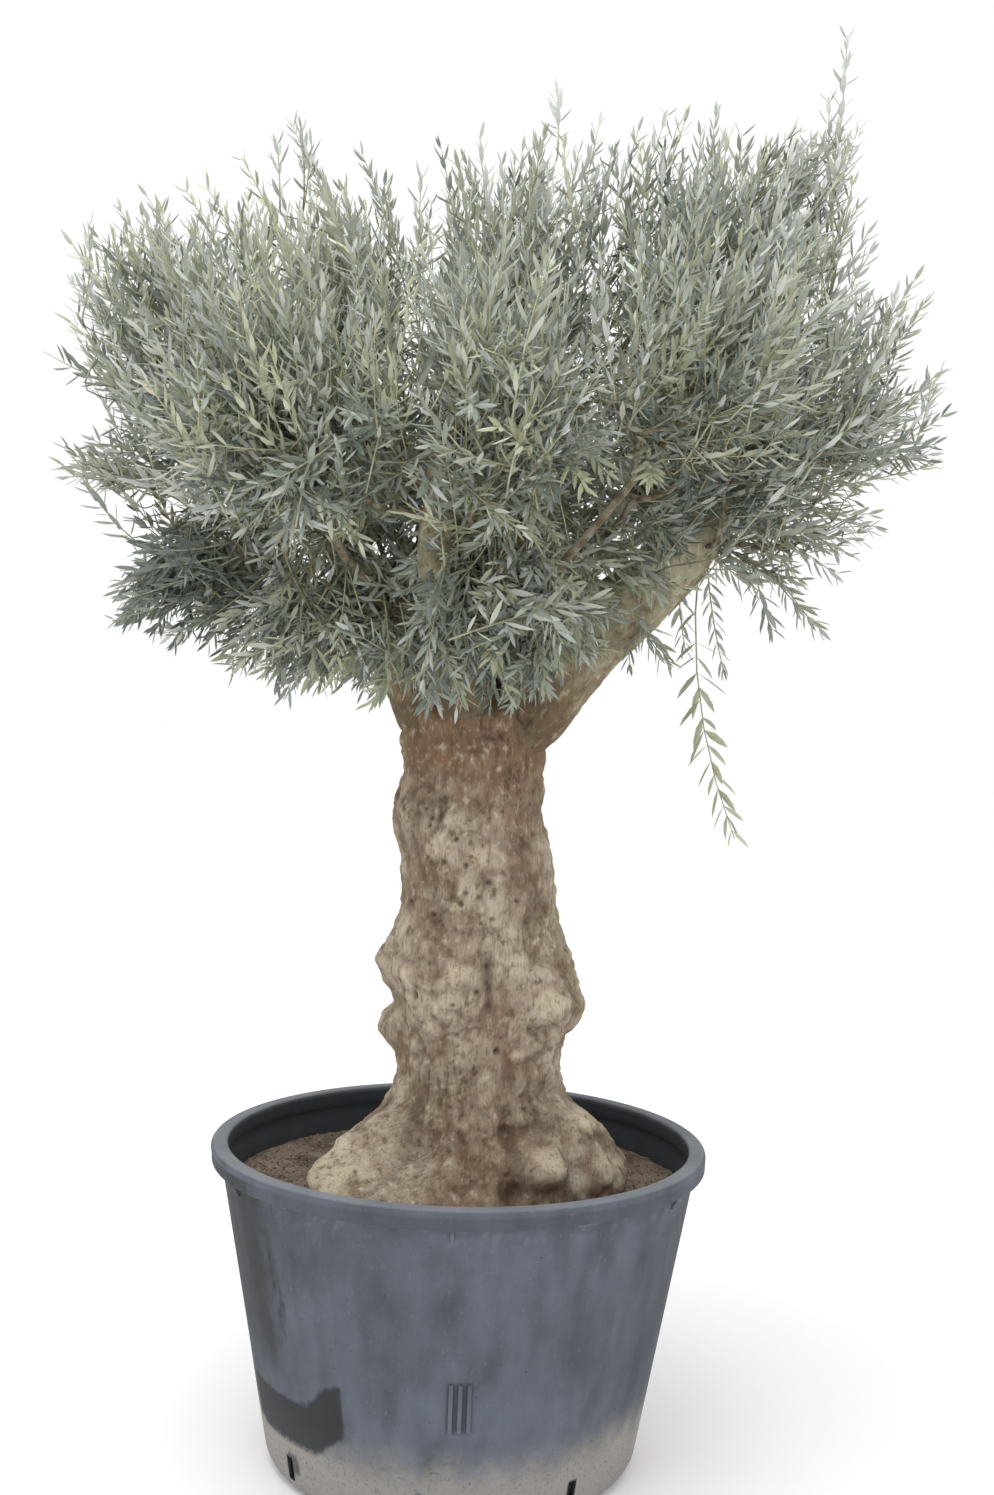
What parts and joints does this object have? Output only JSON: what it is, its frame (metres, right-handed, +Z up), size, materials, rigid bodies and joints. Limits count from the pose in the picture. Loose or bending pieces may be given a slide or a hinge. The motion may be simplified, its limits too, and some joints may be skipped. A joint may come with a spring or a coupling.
{
  "type": "potted olive tree",
  "caption": "Old olive tree with a thick burled trunk and a broad open crown, standing in a round nursery tub.",
  "frame": {"origin": "centre of the tub's flat underside, on the ground", "axes": "+Z up along the trunk; X across the crown's widest spread, +X on the side of the big bare bough; -Y is the front"},
  "size_m": [1.7894, 1.4227, 2.9073],
  "materials": {
    "tub_plastic": "matte",
    "potting_soil": "matte",
    "olive_bark": "matte",
    "olive_leaves": "matte"
  },
  "bodies": {
    "root": {"bough_back": "olive_bark", "bough_centre": "olive_bark", "bough_front": "olive_bark", "bough_left": "olive_bark", "bough_right": "olive_bark", "mass_back_centre": "olive_leaves", "mass_back_left": "olive_leaves", "mass_back_right": "olive_leaves", "mass_front_centre": "olive_leaves", "mass_front_left": "olive_leaves", "mass_front_right": "olive_leaves", "mass_heart": "olive_leaves", "mass_left": "olive_leaves", "mass_left_low": "olive_leaves", "mass_right": "olive_leaves", "mass_right_low": "olive_leaves", "mass_top_centre": "olive_leaves", "mass_top_left": "olive_leaves", "mass_top_right": "olive_leaves", "mass_under_back": "olive_leaves", "mass_under_front": "olive_leaves", "mass_under_left": "olive_leaves", "shoot_tall": "olive_leaves", "shoot_top_centre": "olive_leaves", "shoot_top_left": "olive_leaves", "soil": "potting_soil", "spray_hanging": "olive_leaves", "spray_low_right": "olive_leaves", "spray_under_bough": "olive_leaves", "trunk": "olive_bark", "tub": "tub_plastic"}
  },
  "joints": []
}
